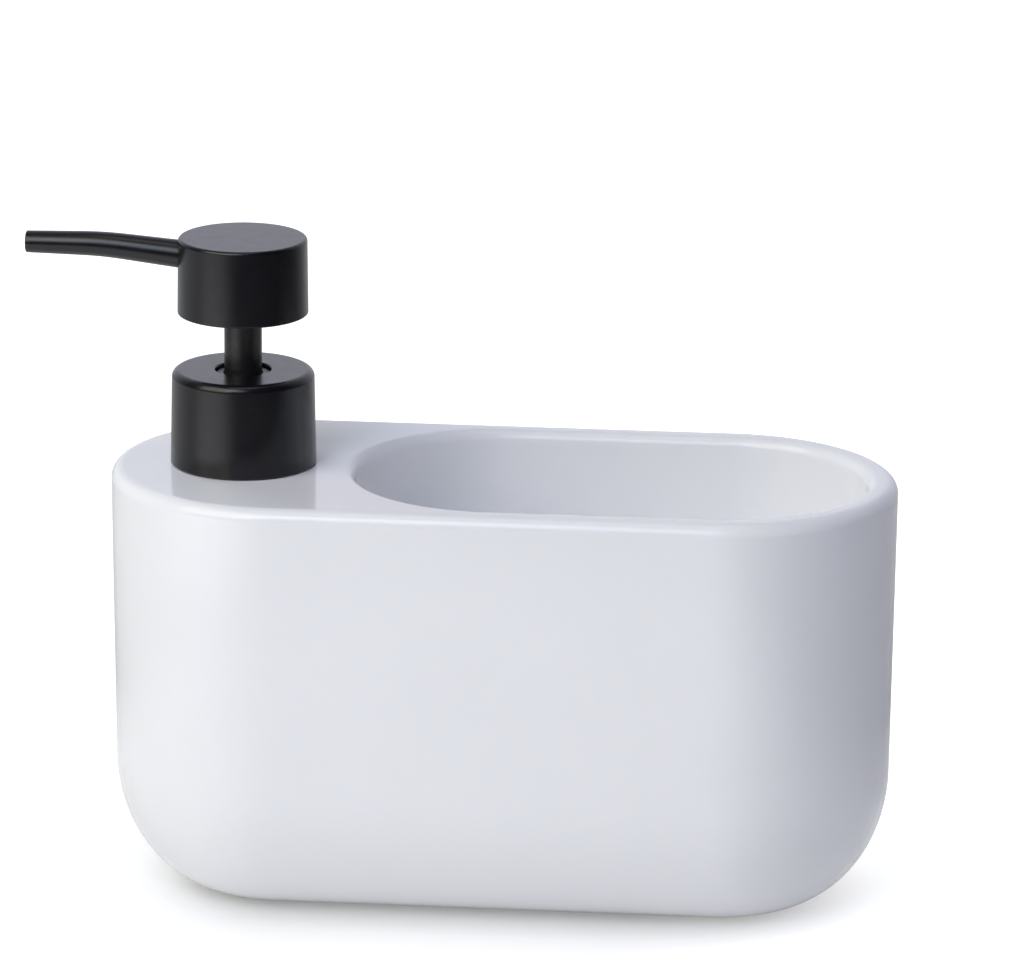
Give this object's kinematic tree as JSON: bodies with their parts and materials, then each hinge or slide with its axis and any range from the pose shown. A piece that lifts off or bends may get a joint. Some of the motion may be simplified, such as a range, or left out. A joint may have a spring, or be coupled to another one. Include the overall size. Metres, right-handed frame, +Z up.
{
  "type": "soap pump caddy",
  "caption": "Glazed ceramic caddy with a sponge pocket, a soap chamber and a black press pump with a swivelling nozzle.",
  "frame": {"origin": "centre of the body's plan, on the plane that the foot ring stands on", "axes": "+X towards the sponge pocket, +Y to the back, +Z up"},
  "size_m": [0.1993, 0.079, 0.1531],
  "materials": {
    "glaze": "gloss",
    "black_coat": "satin",
    "black_plastic": "satin",
    "natural_plastic": "satin",
    "seal_rubber": "matte",
    "piston_plastic": "satin",
    "spring_steel": "bright drawn wire",
    "ball_glass": "polished"
  },
  "bodies": {
    "caddy": {"caddy_body": "glaze", "neck_insert": "natural_plastic", "neck_seal": "seal_rubber"},
    "pump_body": {"pump_housing": "natural_plastic", "stem_guide": "black_plastic", "housing_gasket": "seal_rubber", "dip_tube": "natural_plastic", "ball_cage": "natural_plastic", "return_spring": "spring_steel"},
    "collar": {"collar_cover": "black_coat", "collar_nut": "black_plastic"},
    "piston": {"piston_seal": "piston_plastic"},
    "head": {"stem": "black_plastic", "piston_rod": "natural_plastic", "actuator_core": "black_plastic", "head_cover": "black_coat", "nozzle": "black_coat", "nozzle_liner": "natural_plastic"},
    "inlet_valve": {"inlet_ball": "ball_glass"},
    "outlet_valve": {"outlet_ball": "ball_glass"}
  },
  "joints": [
    {"name": "pump_lift", "type": "slide", "parent": "caddy", "child": "pump_body", "axis": [0, 0, 1], "range_m": [0, 0.11]},
    {"name": "collar_turn", "type": "hinge", "parent": "pump_body", "child": "collar", "pos_m": [-0.0598, 0, 0.11], "axis": [0, 0, 1], "continuous": true},
    {"name": "pump_press", "type": "slide", "parent": "pump_body", "child": "piston", "axis": [0, 0, -1], "range_m": [0, 0.012], "stiffness_N_per_m": 500, "springref_m": -0.01, "deforming": ["return_spring"]},
    {"name": "head_swivel", "type": "hinge", "parent": "piston", "child": "head", "pos_m": [-0.0598, 0, 0.14], "axis": [0, 0, 1], "continuous": true},
    {"name": "inlet_ball_lift", "type": "slide", "parent": "pump_body", "child": "inlet_valve", "axis": [0, 0, 1], "range_m": [0, 0.0012]},
    {"name": "outlet_ball_lift", "type": "slide", "parent": "head", "child": "outlet_valve", "axis": [0, 0, 1], "range_m": [0, 0.0012]}
  ]
}
